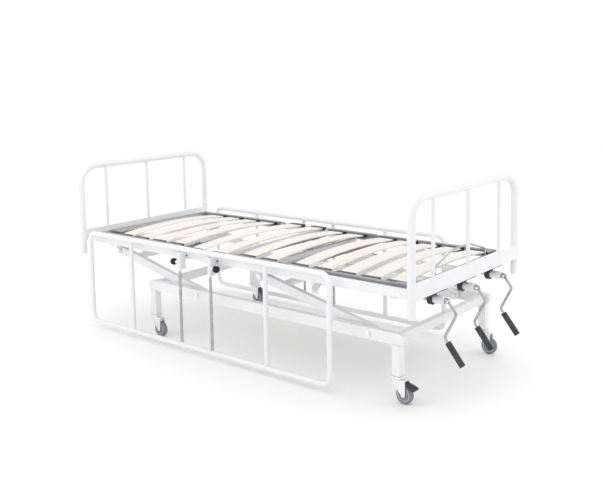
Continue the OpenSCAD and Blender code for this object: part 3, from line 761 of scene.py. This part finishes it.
# a ball's profile after its neck: (distance back from the end, radius), both in ball radii
BALL = ((1.2, 0.985), (0.95, 1.0), (0.7, 0.975), (0.42, 0.86), (0.2, 0.66), (0.06, 0.38), (0.0, 0.05))

for side in ("near", "far"):
    for way, end in ((-1, "head"), (1, "foot")):
        node = f"knob_{side}_{end}"
        lo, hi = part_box(node)
        c = (lo + hi) / 2
        tip = (hi.x if way < 0 else lo.x, c.y, c.z)
        big, length = (hi.y - lo.y) / 2, hi.x - lo.x
        neck, shoulder = length - 2 * big, length - 1.55 * big
        ball, stem = Shape(), Shape()
        profile = [(neck, 0.0085), (neck + 0.004, 0.0092), (neck + 0.006, 0.0125), (shoulder, 0.0152)]
        ball.turned(tip, (way, 0, 0), profile + [(length - d * big, k * big) for d, k in BALL], 40)
        stem.turned(tip, (way, 0, 0), [(0.0, 0.003), (0.0012, 0.004), (0.02, 0.004)], 24)
        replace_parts(ball.piece(node + "_ball", node, "black_plastic", GLOSS), node)
        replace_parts(stem.piece(node + "_stem", node, "black_plastic", CHROME), node)

# ---------------------------------------------------------------- cranks

HANG, ELBOW = math.radians(52), math.radians(65.7)
ALONG = Vector((math.cos(HANG), 0, -math.sin(HANG)))
BACK = Vector((math.cos(HANG + ELBOW), 0, -math.sin(HANG + ELBOW)))
ARM_A, ARM_B = 0.062, 0.115     # the arm's first and second straight
ARM_R, ARM_BEND = 0.006, 0.018
EYE_R, EYE_HALF = 0.0075, 0.004
GRIP_L, GRIP_R = 0.110, 0.013
SLEEVE_R, SLEEVE_BORE, SLEEVE_DEEP = 0.0165, 0.0107, 0.02

GRIP_PROFILE = [(0.0, 0.0075), (0.0, 0.0112), (0.0012, 0.0126), (0.0075, 0.0128), (0.0085, 0.0118)]
GRIP_PROFILE += [(0.0105 + k * (GRIP_L - 0.0235) / 14, 0.0128) for k in range(15)]
GRIP_PROFILE += [(GRIP_L - 0.0105, 0.0118), (GRIP_L - 0.0095, GRIP_R), (GRIP_L - 0.0035, GRIP_R),
                 (GRIP_L - 0.001, GRIP_R - 0.0016), (GRIP_L, GRIP_R - 0.0042)]
RIVET = [(0.0, 0.0052), (0.0008, 0.0052), (0.0018, 0.0044), (0.0024, 0.0026), (0.0026, 0.0005)]


def flutes(along, a):
    """Fourteen grooves along a grip between its two collars."""
    if 0.008 < along < GRIP_L - 0.011:
        return -0.0011 * (0.5 + 0.5 * math.cos(14 * a)) ** 1.6
    return 0.0


def flat_eye(pivot):
    """The arm's flattened end: a half round about its fold pivot that runs into the rod."""
    ring = []
    for k in range(25):
        a = HANG + math.pi / 2 + math.pi * k / 24
        ring.append(pivot + Vector((math.cos(-a), 0, math.sin(-a))) * EYE_R)
    side = Vector((ALONG.z, 0, -ALONG.x)) * EYE_R
    neck = [pivot + ALONG * 0.013 + side * 0.85, pivot + ALONG * 0.013 - side * 0.85]
    if (ring[0] - neck[0]).length < (ring[0] - neck[1]).length:
        neck = neck[::-1]
    eye = bmesh.new()
    near = [eye.verts.new(v + Vector((0, -EYE_HALF, 0))) for v in ring + neck]
    far = [eye.verts.new(v + Vector((0, EYE_HALF, 0))) for v in ring + neck]
    eye.faces.new(near)
    eye.faces.new(far[::-1])
    for k in range(len(near)):
        j = (k + 1) % len(near)
        eye.faces.new((near[k], far[k], far[j], near[j]))
    bmesh.ops.recalc_face_normals(eye, faces=list(eye.faces))
    return eye


joints = {j["name"]: j for j in frame["joints"]}
sleeve_lo, sleeve_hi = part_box("crank_sleeves")
sleeves = Shape()
for which in ("backrest", "lift", "thigh"):
    fold = Vector(joints[f"crank_{which}_fold"]["pos_m"])
    grip = Vector(joints[f"crank_{which}_grip"]["pos_m"])
    arm, rivet = Shape(), Shape()
    elbow = fold + ALONG * ARM_A
    path = [fold + ALONG * 0.008, elbow, elbow + BACK * ARM_B, grip + ALONG * 0.098]
    arm.rod(bent(path, ARM_BEND, 10), ARM_R, 28, chamfer=0.0008)
    arm.take(flat_eye(fold))
    for s in (-1, 1):
        rivet.turned((fold.x, fold.y + s * 0.0098, fold.z), (0, s, 0), RIVET, 24)
    handle = Shape().turned(grip, ALONG, GRIP_PROFILE, 84, flutes)
    ob = arm.piece(f"crank_{which}_rod", f"crank_arm_{which}", "chrome", CHROME)
    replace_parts(ob, f"crank_arm_{which}")
    rivet.piece(f"crank_{which}_rivet", f"spindle_{which}", "zinc", ZINC)
    ob = handle.piece(f"crank_{which}_handle", f"crank_grip_{which}", "grip_rubber", GRIP, 60)
    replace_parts(ob, f"crank_grip_{which}")
    refined(f"spindle_{which}", 0.0005, CHROME, 2)
    sleeves.rod([(sleeve_lo.x, fold.y, fold.z), (sleeve_hi.x, fold.y, fold.z)], SLEEVE_R, 40,
                chamfer=0.0012, bore=SLEEVE_BORE, deep=SLEEVE_DEEP)
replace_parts(sleeves.piece("crank_sleeve_tubes", "bed", "white_paint", WHITE), "crank_sleeves")

# ---------------------------------------------------------------- castors

# tyre section: (place across the wheel in widths, radius in wheel radii), and the hub's half section
TYRE_SECTION = [(-0.5, 0.70), (-0.5, 0.86), (-0.47, 0.915), (-0.38, 0.965), (-0.22, 0.992), (0.0, 1.0)]
HUB_BOSS = [(0.5, 0.0044), (0.5, 0.0088), (0.46, 0.0096), (0.40, 0.0104), (0.37, 0.0125)]
HUB_RIM = [(0.37, 0.585), (0.42, 0.63), (0.505, 0.66), (0.51, 0.70), (0.49, 0.725)]
KINGPIN = [(0.0, 0.0115), (0.001, 0.0135), (0.0045, 0.0135)]
NUT = [(0.0, 0.0072), (0.0018, 0.0072), (0.0022, 0.0066), (0.0022, 0.0058), (0.0034, 0.0052)]
KINGPIN_Z = 0.0905
NUT_Y = 0.0165


def wheel_pieces(name, c, r, w):
    """A tyre and a spoked hub in place of a plain CAD wheel."""
    body = "wheel_" + name
    tyre, hub = Shape(), Shape()
    section = TYRE_SECTION + [(-u, v) for u, v in TYRE_SECTION[-2::-1]]
    tyre.turned(c, (0, 1, 0), [(u * w, v * r) for u, v in section], 64)
    half = [(-u * w, v) for u, v in HUB_BOSS] + [(-u * w, v * r) for u, v in HUB_RIM]
    hub.turned(c, (0, 1, 0), half + [(-u, v) for u, v in half[::-1]], 56)
    for k in range(6):
        a = math.pi / 3 * k
        spoke = Vector((math.cos(a), 0, math.sin(a)))
        for s in (-1, 1):
            p = Vector(c) + Vector((0, s * 0.385 * w, 0))
            hub.rod([p + spoke * 0.0115, p + spoke * r * 0.615], 0.0016, 10)
    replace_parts(tyre.piece(body + "_tyre", body, "wheel_rubber", TYRE), body)
    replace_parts(hub.piece(body + "_hub", body, "wheel_rubber", HUB), body)


for end in ("foot", "head"):
    for side in ("near", "far"):
        name = f"{end}_{side}"
        lo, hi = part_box("wheel_" + name)
        c = (lo + hi) / 2
        wheel_pieces(name, c, (hi.z - lo.z) / 2, hi.y - lo.y)
        refined("fork_" + name, 0.0006, ZINC, 2)
        swivel = Vector(joints[f"castor_{name}_swivel"]["pos_m"])
        kingpin, nuts = Shape(), Shape()
        kingpin.turned((swivel.x, swivel.y, KINGPIN_Z), (0, 0, 1), KINGPIN, 32)
        for s in (-1, 1):
            nuts.turned((c.x, c.y + s * NUT_Y, c.z), (0, s, 0), NUT, 6)
        kingpin.piece(f"fork_{name}_kingpin_rivet", "castor_" + name, "zinc", ZINC)
        nuts.piece(f"fork_{name}_axle_nuts", "castor_" + name, "zinc", ZINC, 20)

# ---------------------------------------------------------------- brake pedals

SHOE_TIP_Z, SHOE_SLOPE, SHOE_R = 0.0675, 0.4545, 0.005
SHOE_SKIN = 0.0055      # from the shoe's centre line straight up to its top
RIB_HALF, RIB_H, RIB_PITCH = 0.0008, 0.0016, 0.0042

for end in ("foot", "head"):
    pedal = "brake_pedal_" + end
    refined(pedal, 0.0018, BLACK, 3)
    lo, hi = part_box(pedal)
    ribs = Shape()
    for k in range(4):
        x = hi.x - 0.0066 - k * RIB_PITCH
        z = SHOE_TIP_Z + (hi.x - SHOE_R - x) * SHOE_SLOPE + SHOE_SKIN - 0.0006
        ribs.bar((x - RIB_HALF, lo.y + 0.003, z), (x + RIB_HALF, hi.y - 0.003, z + RIB_H), 0.0005, 1)
    ribs.piece(pedal + "_ribs", pedal, "black_plastic", BLACK)
